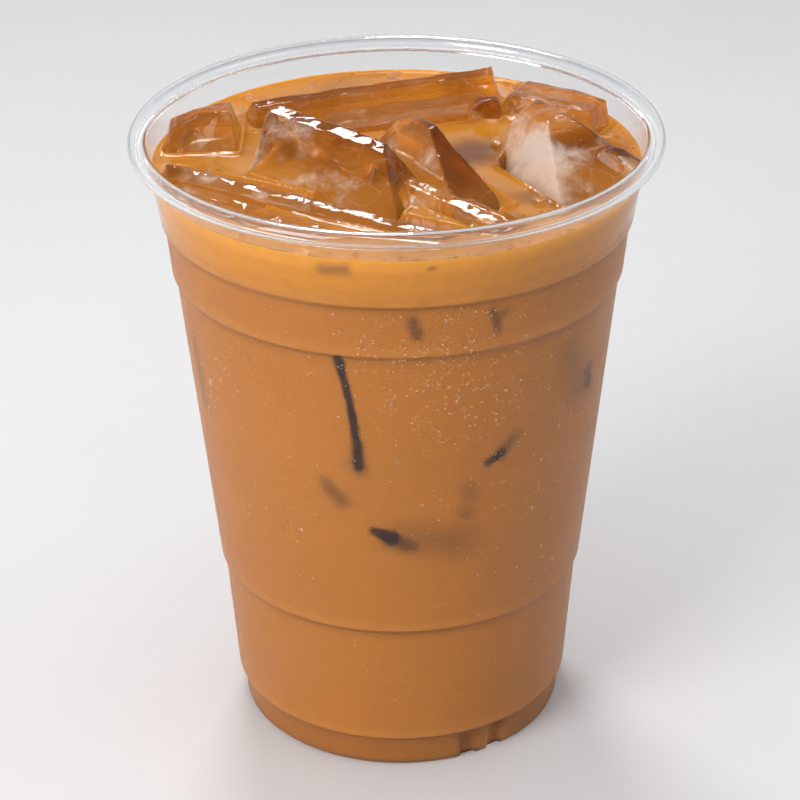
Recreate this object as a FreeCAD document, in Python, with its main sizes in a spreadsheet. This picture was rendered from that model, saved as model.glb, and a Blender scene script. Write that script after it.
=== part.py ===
"""Iced milk coffee in a clear thin-walled cold cup, with broken ice standing out of the drink.

The cup is a revolved sheet wall with a raised base, stepped bands, a rolled lip and three denest
notches in its skirt.  The drink fills the inside of the wall up to the fill level and is cut round
the ice and the notches.  Each piece of ice is a tapered block, cropped by the inside of the cup and
by the ice that lies over it.  The cup's axis is Z, its foot stands at Z = 0, and -Y is the front.
"""
import FreeCAD, Part
import math
import os
import Sketcher

CUP_SIZES = {
    "rim_radius": 49.0,
    "cup_height": 120.0,
    "wall": 0.5,
    "floor_thickness": 0.6,
    "base_raise": 2.0,
    "base_radius": 26.5,
    "foot_inner_radius": 28.0,
    "foot_flat_radius": 30.4,
    "foot_radius": 31.2,
    "foot_round": 0.8,
    "skirt_radius": 31.65,
    "skirt_height": 6.3,
    "ledge_width": 0.95,
    "ledge_rise": 1.0,
    "lower_band_radius": 34.5,
    "lower_band_height": 32.3,
    "main_wall_radius": 41.35,
    "main_wall_height": 92.9,
    "upper_band_radius": 43.0,
    "upper_band_height": 103.3,
    "step_width": 0.7,
    "step_rise": 0.9,
    "lip_radius": 1.65,
    "lip_gap": 0.45,
    "notch_count": 3,
    "notch_angle": -60.0,
    "notch_width": 9.2,
    "notch_depth": 1.6,
    "notch_column": 2.6,
    "notch_reach": 2.0,
}

DRINK_SIZES = {
    "fill_level": 113.3,
    "clearance": 0.3,
    "heap_room": 8.0,
    "heap_radius": 44.5,
}

# The largest share of a cut shape's volume that may be left out as crumbs.
CRUMB_SHARE = 0.03

# A block is drawn with its height along its own Y axis; this roll in degrees stands it up.
STAND_UP = 90

# A piece of ice is a block whose base has the given length and width, and whose top runs from
# ridge_left to ridge_right along it and from ridge_back to ridge_front across it, all measured
# from the middle of the base.  That middle lies at (east, north), at its depth under the fill
# level, and the block is turned by yaw, pitch and roll in degrees.  The pieces lie in a heap of
# heap_radius, and spread out with the surface of the drink.  A piece is cropped by those before it.
ICE_FIELDS = ("east", "north", "depth", "yaw", "pitch", "roll", "length", "width", "height",
              "ridge_left", "ridge_right", "ridge_back", "ridge_front")

ICE = {
    "peak_left": (-8.7, -9.0, 3.5, -33, 6, -11, 32.8, 17.2, 11.4, -22.7, 3.2, -3.9, -2.8),
    "peak_centre": (7.0, -8.0, 2.9, -59, 1, 1, 37.0, 12.0, 10.6, -14.5, -7.0, -3.6, -2.4),
    "chunk_right": (34.5, -6.8, 3.9, -59, -1, 9, 22.7, 26.0, 12.2, -21.3, -10.1, -3.0, 0.4),
    "slab_front": (-15.7, -18.8, 5.5, -29, 1.7, 44, 60.0, 10.0, 8.0, -29.0, 29.0, -3.4, -0.5),
    "tongue": (7.1, -19.8, 2.4, -45, 4, 6, 30.0, 7.6, 5.6, -12.0, 15.0, -0.6, 1.6),
    "block_left": (-36.4, 11.4, 3.6, -1, -4.6, 4.8, 15.6, 15.7, 9.3, -4.8, 6.3, -3.4, 1.1),
    "chip_centre": (-8.9, 2.5, 1.3, -63, 11, 28, 14.5, 6.1, 6.1, -4.0, -1.3, -4.1, -3.8),
    "nub_back": (16.8, 21.5, 2.8, -10, 0, 5, 7.4, 6.4, 6.4, -2.2, 2.6, -2.0, 1.0),
    "slab_back": (-4.5, 26.2, 2.9, 18, -1, 26, 50.0, 10.3, 8.2, -24.0, 24.7, -2.8, -0.4),
    "plate_middle": (2.6, 19.9, 4.3, 15, -0.7, 2.6, 34.0, 9.9, 6.0, -16.0, 16.0, -4.9, 4.3),
    "lump_back": (30.5, 21.8, 2.9, -30, 0.6, 0.7, 24.0, 12.4, 6.4, -8.8, 8.7, -5.0, 4.0),
    "tip_right": (40.1, -6.5, 2.1, -23, 7, 6, 12.3, 8.2, 6.0, -4.2, 3.2, -2.0, 0.7),
    "shard_front": (15.2, -25.8, 3.5, -51, 5.7, 11, 18.2, 8.3, 5.0, -7.3, 6.7, -2.1, 0.5),
    "plate_front": (-27.5, -23.0, 3.8, -38, 0, 3, 38.0, 9.0, 4.8, -17.0, 17.0, -2.8, 2.1),
}


def make_sheet(doc):
    """Put every size into the sheet, one row each: its name, its value and its alias."""
    sheet = doc.addObject("Spreadsheet::Sheet", "Sizes")
    rows = {**CUP_SIZES, **DRINK_SIZES}
    for piece, values in ICE.items():
        rows.update({f"{piece}_{field}": value for field, value in zip(ICE_FIELDS, values)})
    for row, (alias, value) in enumerate(rows.items(), start=1):
        sheet.set(f"A{row}", alias)
        sheet.set(f"B{row}", str(value))
        sheet.setAlias(f"B{row}", alias)
    doc.recompute()


# ---------------------------------------------------------------- sketches

def origin_feature(body, role):
    """Return one of the body's own origin planes or axes."""
    return next(feature for feature in body.Origin.OriginFeatures if feature.Role == role)


def new_sketch(body, name, role):
    """Add an empty sketch to the body, on one of its origin planes."""
    sketch = body.newObject("Sketcher::SketchObject", name)
    sketch.AttachmentSupport = [(origin_feature(body, role), "")]
    sketch.MapMode = "FlatFace"
    return sketch


def bind(sketch, kind, places, formula):
    """Add a constraint whose value follows a formula of the sheet's sizes."""
    start_value = float(sketch.evalExpression(formula))
    index = sketch.addConstraint(Sketcher.Constraint(kind, *places, start_value))
    sketch.setExpression(f"Constraints[{index}]", formula)


def join(sketch, first, first_end, second, second_end):
    """Make two ends of edges meet."""
    sketch.addConstraint(Sketcher.Constraint("Coincident", first, first_end, second, second_end))


def draw_outline(sketch, corners):
    """Draw a closed outline of straight edges whose corners are pairs of formulas."""
    points = [FreeCAD.Vector(*(float(sketch.evalExpression(f)) for f in corner)) for corner in corners]
    for start, end in zip(points, points[1:] + points[:1]):
        sketch.addGeometry(Part.LineSegment(start, end), False)
    for edge, corner in enumerate(corners):
        bind(sketch, "DistanceX", (-1, 1, edge, 1), corner[0])
        bind(sketch, "DistanceY", (-1, 1, edge, 1), corner[1])
        join(sketch, edge, 2, (edge + 1) % len(corners), 1)


def revolve(body, sketch, name):
    """Turn a sketch through a full circle about its upright axis."""
    feature = body.newObject("PartDesign::Revolution", name)
    feature.Profile = sketch
    feature.ReferenceAxis = (sketch, ["V_Axis"])
    feature.Angle = 360.0
    return feature


# ---------------------------------------------------------------- cup wall

def wall_outline(inset, lift):
    """Corners of the wall's side, from the axis at the base up to the lip.

    inset is how far the outline lies inside the outer face, and lift how far it lies above the
    underside of the base; both are formulas.
    """
    rings = [
        ("base_radius", "base_raise"),
        ("foot_inner_radius", None),
        ("foot_flat_radius", None),
        ("foot_radius", "foot_round"),
        ("skirt_radius", "skirt_height"),
    ]
    corners = [("0", f"Sizes.base_raise + {lift}")]
    for radius, height in rings:
        level = f"Sizes.{height}" if height else "0"
        inner_side = radius in ("base_radius", "foot_inner_radius")
        side = "+" if inner_side else "-"
        rise = lift if height in (None, "base_raise", "foot_round") else "0"
        corners.append((f"Sizes.{radius} {side} ({inset})", f"{level} + {rise}"))
    ledge = ("Sizes.skirt_radius + Sizes.ledge_width", "Sizes.skirt_height + Sizes.ledge_rise")
    corners.append((f"{ledge[0]} - ({inset})", ledge[1]))
    for band in ("lower_band", "main_wall", "upper_band"):
        radius = f"Sizes.{band}_radius - ({inset})"
        height = f"Sizes.{band}_height"
        corners.append((radius, height))
        corners.append((f"{radius} + Sizes.step_width", f"{height} + Sizes.step_rise"))
    corners.append((f"Sizes.rim_radius - 2 * Sizes.lip_radius + Sizes.wall - ({inset})",
                    "Sizes.cup_height - Sizes.lip_radius"))
    return corners


def draw_lip(sketch):
    """Draw the section of the rolled lip: a strip of the wall's thickness, bent outward."""
    across = "Sizes.rim_radius - Sizes.lip_radius"
    up = "Sizes.cup_height - Sizes.lip_radius"
    outer = "Sizes.lip_radius"
    inner = "(Sizes.lip_radius - Sizes.wall)"
    tail = "(Sizes.lip_radius - Sizes.wall - Sizes.lip_gap)"
    centre = FreeCAD.Vector(*(float(sketch.evalExpression(f)) for f in (across, up)))
    turn = math.acos(-float(sketch.evalExpression(f"{tail} / {outer}")))
    for edge, radius in enumerate((outer, inner)):
        circle = Part.Circle(centre, FreeCAD.Vector(0, 0, 1), float(sketch.evalExpression(radius)))
        sketch.addGeometry(Part.ArcOfCircle(circle, -turn, math.pi), False)
        bind(sketch, "DistanceX", (-1, 1, edge, 3), across)
        bind(sketch, "DistanceY", (-1, 1, edge, 3), up)
        bind(sketch, "Radius", (edge,), radius)
        bind(sketch, "DistanceX", (edge, 1, edge, 3), f"{tail} * {radius} / {outer}")
        sketch.addConstraint(Sketcher.Constraint("Horizontal", edge, 2, edge, 3))
    for edge, end in ((2, 1), (3, 2)):
        start, stop = (sketch.getPoint(arc, end) for arc in (0, 1))
        sketch.addGeometry(Part.LineSegment(start, stop), False)
        join(sketch, 0, end, edge, 1)
        join(sketch, 1, end, edge, 2)


def draw_sector(sketch, inner, outer, low, high):
    """Draw a piece of a ring about the axis, between two radii and two distances off the X axis."""
    first = sketch.GeometryCount
    for edge, radius in enumerate((inner, outer), start=first):
        size, start, stop = (float(sketch.evalExpression(f)) for f in (radius, low, high))
        circle = Part.Circle(FreeCAD.Vector(), FreeCAD.Vector(0, 0, 1), size)
        sketch.addGeometry(Part.ArcOfCircle(circle, math.asin(start / size), math.asin(stop / size)))
        join(sketch, edge, 3, -1, 1)
        bind(sketch, "Radius", (edge,), radius)
        bind(sketch, "DistanceY", (-1, 1, edge, 1), low)
        bind(sketch, "DistanceY", (-1, 1, edge, 2), high)
    for edge, end in ((first + 2, 1), (first + 3, 2)):
        start, stop = (sketch.getPoint(arc, end) for arc in (first, first + 1))
        sketch.addGeometry(Part.LineSegment(start, stop), False)
        join(sketch, first, end, edge, 1)
        join(sketch, first + 1, end, edge, 2)


def turn_to_notch(sketch):
    """Turn a sketch on the floor so that its X axis points at the first notch."""
    turned = "placement(vector(0; 0; 0); rotation(vector(0; 0; 1); Sizes.notch_angle))"
    sketch.setExpression("AttachmentOffset", turned)


def repeat_round(body, features):
    """Repeat features evenly about the axis, once for each notch."""
    pattern = body.newObject("PartDesign::PolarPattern", "NotchPattern")
    pattern.Originals = features
    pattern.Axis = (origin_feature(body, "Z_Axis"), [""])
    pattern.Angle = 360.0
    pattern.setExpression("Occurrences", "Sizes.notch_count")
    body.Tip = pattern


def make_cup(doc):
    """Build the cup: outer form, cavity, rolled lip and the denest notches."""
    body = doc.addObject("PartDesign::Body", "Cup")
    body.Label = "cup"
    outside = new_sketch(body, "Outside", "XZ_Plane")
    neck = ("0", "Sizes.cup_height - Sizes.lip_radius")
    draw_outline(outside, wall_outline("0", "0") + [neck])
    revolve(body, outside, "OuterForm")
    doc.recompute()
    solid_volume = body.Shape.Volume

    inside = new_sketch(body, "Inside", "XZ_Plane")
    draw_outline(inside, wall_outline("Sizes.wall", "Sizes.floor_thickness") + [neck])
    cavity = body.newObject("PartDesign::Groove", "Cavity")
    cavity.Profile = inside
    cavity.ReferenceAxis = (inside, ["V_Axis"])
    cavity.Angle = 360.0
    doc.recompute()
    if body.Shape.Volume >= solid_volume:
        raise RuntimeError("the cavity was not cut")

    lip = new_sketch(body, "LipSection", "XZ_Plane")
    draw_lip(lip)
    revolve(body, lip, "Lip")
    doc.recompute()

    half = "Sizes.notch_width / 2"
    floor = "Sizes.foot_radius - Sizes.notch_depth"
    boss_sketch = new_sketch(body, "NotchBackSketch", "XY_Plane")
    turn_to_notch(boss_sketch)
    draw_sector(boss_sketch, f"{floor} - Sizes.wall", "Sizes.foot_radius - Sizes.wall / 2",
                f"-({half} + Sizes.wall)", f"{half} + Sizes.wall")
    boss = body.newObject("PartDesign::Pad", "NotchBack")
    boss.Profile = boss_sketch
    boss.setExpression("Length", "Sizes.skirt_height + Sizes.wall")
    doc.recompute()
    backed_volume = body.Shape.Volume

    dent_sketch = new_sketch(body, "NotchDentSketch", "XY_Plane")
    turn_to_notch(dent_sketch)
    beyond = "Sizes.skirt_radius + Sizes.notch_reach"
    draw_sector(dent_sketch, floor, beyond, "Sizes.notch_column / 2", half)
    draw_sector(dent_sketch, floor, beyond, f"-({half})", "-(Sizes.notch_column / 2)")
    dent = body.newObject("PartDesign::Pocket", "NotchDents")
    dent.Profile = dent_sketch
    dent.Reversed = True
    dent.setExpression("Length", "Sizes.skirt_height")
    doc.recompute()
    if body.Shape.Volume >= backed_volume:
        raise RuntimeError("the notches were not cut")
    repeat_round(body, [boss, dent])
    doc.recompute()
    return body


# ---------------------------------------------------------------- drink and ice

def make_room(doc):
    """Build the space inside the cup, less the clearance, going on straight up past the lip."""
    body = doc.addObject("PartDesign::Body", "Room")
    inset = "Sizes.wall + Sizes.clearance"
    side = wall_outline(inset, "Sizes.floor_thickness + Sizes.clearance")
    top = "Sizes.cup_height + Sizes.heap_room"
    sketch = new_sketch(body, "RoomOutline", "XZ_Plane")
    draw_outline(sketch, side + [(side[-1][0], top), ("0", top)])
    revolve(body, sketch, "RoomForm")
    doc.recompute()

    half = "Sizes.notch_width / 2 + Sizes.wall + Sizes.clearance"
    notch_sketch = new_sketch(body, "RoomNotchSketch", "XY_Plane")
    turn_to_notch(notch_sketch)
    draw_sector(notch_sketch, "Sizes.foot_radius - Sizes.notch_depth - Sizes.wall - Sizes.clearance",
                "Sizes.skirt_radius + Sizes.notch_reach", f"-({half})", half)
    notch = body.newObject("PartDesign::Pocket", "RoomNotch")
    notch.Profile = notch_sketch
    notch.Reversed = True
    notch.setExpression("Length", "Sizes.skirt_height + Sizes.wall + Sizes.clearance")
    doc.recompute()
    repeat_round(body, [notch])
    doc.recompute()
    return body


def combine(doc, kind, name, base, tool):
    """Cut one shape from another, or keep what they share."""
    result = doc.addObject(f"Part::{kind}", name)
    result.Base = base
    result.Tool = tool
    return result


def gather(doc, name, pieces):
    """Hold several pieces together as one tool."""
    group = doc.addObject("Part::Compound", name)
    group.Links = pieces
    return group


def without_crumbs(doc, name, source):
    """Hold a shape's main solid, without the crumbs that a cut may leave beside it."""
    doc.recompute()
    main_solid = max(source.Shape.Solids, key=lambda solid: solid.Volume)
    if main_solid.Volume < (1.0 - CRUMB_SHARE) * source.Shape.Volume:
        raise RuntimeError(f"{name} fell into pieces")
    result = doc.addObject("Part::Feature", name)
    result.Shape = main_solid
    return result


def surface_radius():
    """Formula for the radius of the drink's surface: that of the room at the fill level."""
    low_radius = "(Sizes.upper_band_radius + Sizes.step_width)"
    low_height = "(Sizes.upper_band_height + Sizes.step_rise)"
    neck_radius = "(Sizes.rim_radius - 2 * Sizes.lip_radius + Sizes.wall)"
    neck_height = "(Sizes.cup_height - Sizes.lip_radius)"
    share = f"(Sizes.fill_level - {low_height}) / ({neck_height} - {low_height})"
    return f"({low_radius} + ({neck_radius} - {low_radius}) * {share} - Sizes.wall - Sizes.clearance)"


def make_block(doc, piece):
    """Build the tapered block that a piece of ice is made from."""
    size = {field: f"Sizes.{piece}_{field}" for field in ICE_FIELDS}
    block = doc.addObject("Part::Wedge", f"{piece}_block")
    for low, high, span in (("Xmin", "Xmax", "length"), ("Zmin", "Zmax", "width")):
        block.setExpression(low, f"-{size[span]} / 2")
        block.setExpression(high, f"{size[span]} / 2")
    block.Ymin = 0.0
    block.setExpression("Ymax", size["height"])
    for edge, field in (("X2min", "ridge_left"), ("X2max", "ridge_right"),
                        ("Z2min", "ridge_back"), ("Z2max", "ridge_front")):
        block.setExpression(edge, size[field])
    spread = f"{surface_radius()} / Sizes.heap_radius"
    place = (f"vector({size['east']} * {spread}; {size['north']} * {spread};"
             f" Sizes.fill_level - {size['depth']})")
    turned = f"rotation({size['yaw']}; {size['pitch']}; {size['roll']} + {STAND_UP})"
    block.setExpression("Placement", f"placement({place}; {turned})")
    return block


def make_ice(doc, room):
    """Build the pieces of ice, each cropped by the cup and by the pieces that lie over it."""
    done = []
    for piece in ICE:
        ice = combine(doc, "Common", f"{piece}_in_cup", make_block(doc, piece), room)
        if done:
            above = gather(doc, f"{piece}_above", list(done))
            ice = combine(doc, "Cut", f"{piece}_cropped", ice, above)
        ice = without_crumbs(doc, f"{piece}_ice", ice)
        ice.Label = f"ice_{piece}"
        done.append(ice)
    return done


def make_drink(doc, room, ice):
    """Build the drink: the inside of the cup up to the fill level, less the ice."""
    level = doc.addObject("Part::Cylinder", "LevelCylinder")
    level.setExpression("Radius", "2 * Sizes.rim_radius")
    level.setExpression("Height", "Sizes.fill_level")
    filled = combine(doc, "Common", "Filled", room, level)
    drink = combine(doc, "Cut", "DrinkRoundIce", filled, gather(doc, "AllIce", ice))
    drink = without_crumbs(doc, "Drink", drink)
    drink.Label = "coffee"
    return drink


# ---------------------------------------------------------------- checks and files

def check(doc, nodes):
    """Stop if any object failed, or if a node is not one valid solid."""
    for item in doc.Objects:
        if {"Invalid", "Error"} & set(item.State):
            raise RuntimeError(f"{item.Label} failed: {item.State}")
    for node in nodes:
        shape = node.Shape
        if shape.isNull() or not shape.isValid() or len(shape.Solids) != 1:
            raise RuntimeError(f"{node.Label} is not one valid solid: {len(shape.Solids)} solids")


def main():
    doc = FreeCAD.newDocument("IcedCoffee")
    make_sheet(doc)
    cup = make_cup(doc)
    room = make_room(doc)
    ice = make_ice(doc, room)
    nodes = [cup, make_drink(doc, room, ice), *ice]
    check(doc, nodes)
    os.makedirs("parts", exist_ok=True)
    for node in nodes:
        node.Shape.exportStep(f"parts/{node.Label}.step")
        box = node.Shape.BoundBox
        print(f"{node.Label}: {node.Shape.Volume / 1000:.2f} cm3, top {box.ZMax:.1f} mm")


main()
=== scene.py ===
"""Iced milk coffee in a clear cold cup, with broken ice standing out of the drink.

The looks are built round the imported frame: a clear wall with fine dew on it, a milky drink that
climbs at the wall and at the ice, and clear ice.  Lengths in the tables are in millimetres.
"""

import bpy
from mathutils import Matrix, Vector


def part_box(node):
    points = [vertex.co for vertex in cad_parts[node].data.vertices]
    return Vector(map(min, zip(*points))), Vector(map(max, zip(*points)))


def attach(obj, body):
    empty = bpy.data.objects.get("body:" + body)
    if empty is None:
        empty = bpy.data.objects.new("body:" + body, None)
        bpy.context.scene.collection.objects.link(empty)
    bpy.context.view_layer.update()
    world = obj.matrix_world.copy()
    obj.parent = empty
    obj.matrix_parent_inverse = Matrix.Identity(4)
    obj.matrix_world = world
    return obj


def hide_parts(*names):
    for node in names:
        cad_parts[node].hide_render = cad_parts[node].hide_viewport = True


bl_info = {
    "name": "Iced Coffee",
    "version": (1, 0, 0),
    "blender": (4, 5, 0),
    "location": "View3D > Sidebar > Iced Coffee",
    "description": "Builds a clear cold cup of iced milk coffee with broken ice, in a pale studio",
    "category": "Object",
}

import math
import random

import bmesh
import bpy
import numpy as np
from bpy.props import FloatProperty, FloatVectorProperty, IntProperty, PointerProperty
from mathutils import Matrix, Vector, kdtree, noise
from mathutils.bvhtree import BVHTree

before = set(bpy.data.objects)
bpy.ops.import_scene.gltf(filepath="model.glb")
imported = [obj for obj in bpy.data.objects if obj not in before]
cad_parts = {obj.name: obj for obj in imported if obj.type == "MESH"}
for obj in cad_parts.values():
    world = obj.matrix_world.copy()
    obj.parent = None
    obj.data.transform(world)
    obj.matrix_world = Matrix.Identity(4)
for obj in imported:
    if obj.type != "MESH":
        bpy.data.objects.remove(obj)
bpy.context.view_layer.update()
MM = 0.001
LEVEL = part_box("coffee")[1].z / MM
RIM_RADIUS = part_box("cup")[1].x / MM
CUP_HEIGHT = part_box("cup")[1].z / MM
ICE_NODES = sorted(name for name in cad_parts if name.startswith("ice_"))

# The wall's outer face from the middle of the base to the neck: radius, height, rounding.
WALL_CORNERS = [
    (0.0, 2.0, 0.0), (26.5, 2.0, 0.9), (28.0, 0.0, 0.5), (30.4, 0.0, 0.35), (31.2, 0.8, 0.6),
    (31.65, 6.3, 0.3), (32.6, 7.3, 0.5), (34.5, 32.3, 0.45), (35.2, 33.2, 0.45),
    (41.35, 92.9, 0.45), (42.05, 93.8, 0.45), (43.0, 103.3, 0.45), (43.7, 104.2, 0.45),
]
FLOOR_THICKNESS = 0.6
LIP_RADIUS = 1.65
LIP_END = math.radians(-115.1)
NOTCH_ANGLES = [math.radians(a) for a in (-60.0, 60.0, 180.0)]
NOTCH_FLOOR = 29.6
NOTCH_HALF = 4.6
NOTCH_COLUMN = 1.3
NOTCH_TOP = 6.3
RING_HEIGHTS = (6.3, 32.3, 92.9, 103.3)

# Ice that lies against the inside of the wall, sunk in the drink.  Each run is given by its two
# ends (angle about the axis in degrees, height), the half widths there, the soft edge round it
# and how dark it looks.
SUNK_RUNS = [
    ((-104.95, 93.0), (-102.6, 84.0), 0.62, 0.45, 0.5, 1.0),
    ((-102.6, 84.0), (-101.0, 75.5), 0.45, 0.5, 0.5, 1.0),
    ((-101.0, 75.5), (-100.9, 70.2), 0.5, 0.85, 0.8, 1.0),
    ((-101.8, 70.6), (-100.7, 70.0), 0.7, 0.9, 1.4, 0.5),
    ((-110.3, 65.6), (-106.0, 62.2), 0.35, 0.7, 1.6, 0.55),
    ((-97.4, 56.3), (-92.5, 54.6), 0.25, 1.5, 0.8, 1.0),
    ((-92.5, 54.6), (-87.0, 52.9), 1.2, 0.7, 1.6, 0.75),
    ((-88.5, 55.2), (-73.5, 52.8), 1.2, 1.9, 3.2, 0.33),
    ((-65.8, 69.2), (-62.0, 70.6), 0.3, 0.8, 0.8, 0.95),
    ((-62.0, 70.6), (-58.4, 73.4), 0.7, 0.3, 1.5, 0.5),
    ((-71.0, 64.0), (-70.5, 62.4), 0.5, 0.6, 1.6, 0.35),
    ((-72.2, 59.0), (-70.8, 58.8), 0.6, 0.5, 1.4, 0.4),
    ((-86.8, 101.2), (-85.6, 98.0), 0.6, 0.6, 0.9, 0.62),
    ((-67.2, 101.2), (-66.2, 99.6), 0.35, 0.6, 0.8, 0.6),
    ((-66.2, 99.6), (-65.9, 97.4), 0.5, 0.3, 0.8, 0.6),
    ((-66.2, 99.6), (-63.8, 101.0), 0.45, 0.3, 0.8, 0.45),
    ((-30.4, 79.9), (-29.0, 76.8), 0.9, 1.0, 1.3, 0.7),
    ((-41.0, 86.4), (-33.5, 78.0), 1.2, 2.2, 3.2, 0.3),
    ((-106.6, 111.3), (-101.6, 111.7), 0.5, 0.6, 1.0, 0.6),
    ((-82.9, 111.9), (-82.3, 112.0), 0.3, 0.3, 0.4, 0.6),
    ((-158.0, 84.0), (-157.2, 72.0), 0.6, 0.7, 1.6, 0.35),
    ((152.0, 88.0), (148.5, 70.0), 0.8, 1.0, 1.5, 0.8),
    ((100.0, 62.0), (109.0, 57.0), 0.6, 1.6, 1.3, 0.8),
    ((58.0, 84.0), (63.5, 90.0), 0.5, 1.1, 1.3, 0.7),
    ((22.0, 60.0), (19.0, 48.0), 0.5, 0.8, 1.2, 0.8),
    ((120.0, 98.5), (123.0, 99.5), 0.6, 0.8, 1.0, 0.55),
]


def color_setting(name, default, description):
    """A setting for a linear colour."""
    return FloatVectorProperty(name=name, description=description, subtype="COLOR", size=3,
                               min=0.0, max=1.0, default=default)


def length_setting(name, default, most, description, least=0.0):
    """A setting for a length in metres."""
    return FloatProperty(name=name, description=description, subtype="DISTANCE", unit="LENGTH",
                         default=default, min=least, max=most)


def power_setting(name, default, description):
    """A setting for a lamp's power in watts."""
    return FloatProperty(name=name, description=description, unit="POWER", default=default,
                         min=0.0, max=50.0)


class IcedCoffeeDrink(bpy.types.PropertyGroup):
    """Sizes and colours of the drink."""
    side_color: color_setting("Side colour", (0.475, 0.172, 0.019), "The drink behind the wall")
    band_color: color_setting("Upper band colour", (0.66, 0.275, 0.016),
                              "The drink just under its level, where the wall is clear")
    surface_color: color_setting("Surface colour", (0.55, 0.205, 0.014),
                                 "The open surface of the drink")
    # Painted shade under, near and between the ice, and the murky patches by noise, take this
    # colour.
    murk_and_shade_color: color_setting("Deep colour", (0.16, 0.045, 0.007),
                              "The drink in the shade under the ice")
    sunk_color: color_setting("Sunk ice colour", (0.030, 0.010, 0.005),
                              "Ice that touches the wall under the level")
    climb: length_setting("Climb", 0.0008, 0.002,
                          "How far the drink climbs at the wall and at the ice")
    reach: length_setting("Reach into the wall", 0.00025, 0.0005,
                          "How far the drink's side reaches into the wall")
    rings: IntProperty(
        name="Rings", description="Rings of the surface's mesh", default=104, min=20, max=200)


class IcedCoffeeCup(bpy.types.PropertyGroup):
    """Sizes and finish of the cup."""
    wall: length_setting("Wall", 0.0005, 0.002, "Thickness of the wall", 0.0001)
    segments: IntProperty(
        name="Segments", description="Segments round the cup and the drink", default=480,
        min=60, max=720)
    tint: color_setting("Tint", (0.97, 0.98, 0.99), "Tint of the clear plastic")


class IcedCoffeeIce(bpy.types.PropertyGroup):
    """Mesh size and finish of the ice."""
    cell: length_setting("Cell", 0.00035, 0.002, "Cell size of the ice's mesh", 0.0002)
    wave: length_setting("Waves", 0.00035, 0.002,
                         "Height of the waves that melting leaves on the faces")
    cloud_color: color_setting("Cloud colour", (0.80, 0.67, 0.57), "Cloudy patches in the ice")
    film_color: color_setting("Film colour", (0.60, 0.25, 0.03), "Drink that clings to the ice")
    # Painted shade: the colour that the shaded sides of the ice take on.
    shaded_ice_color: color_setting("Dark colour", (0.16, 0.070, 0.028),
                              "Clear ice with the deep drink behind it")
    glint: length_setting("Glint", 0.0008, 0.002,
                          "How deep the ridges are planed off by melting")


class IcedCoffeeStage(bpy.types.PropertyGroup):
    """Colours and light of the studio."""
    floor_color: color_setting("Floor colour", (0.765, 0.757, 0.759), "Colour of the floor")
    key_power: power_setting("Key power", 4.6, "Power of the large soft light on the left")
    top_power: power_setting("Top power", 1.9, "Power of the soft light behind and above")
    fill_power: power_setting("Fill power", 0.6, "Power of the faint light on the right")
    sky: FloatProperty(
        name="Sky", description="Strength of the even light from all round", default=0.84,
        min=0.0, max=2.0)


# ---------------------------------------------------------------- material graphs

class Wire:
    """An output socket of a material graph that can be used in arithmetic."""

    def __init__(self, graph, socket):
        self.graph = graph
        self.socket = socket

    def maths(self, operation, first, second=0.0):
        """Add a Math node and return its value."""
        return self.graph.add("ShaderNodeMath", {"operation": operation}, {0: first, 1: second})

    def __add__(self, other):
        return self.maths("ADD", self, other)

    __radd__ = __add__

    def __sub__(self, other):
        return self.maths("SUBTRACT", self, other)

    def __rsub__(self, other):
        return self.maths("SUBTRACT", other, self)

    def __mul__(self, other):
        return self.maths("MULTIPLY", self, other)

    __rmul__ = __mul__

    def least(self, other):
        """The smaller of two values."""
        return self.maths("MINIMUM", self, other)

    def most(self, other):
        """The larger of two values."""
        return self.maths("MAXIMUM", self, other)


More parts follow.
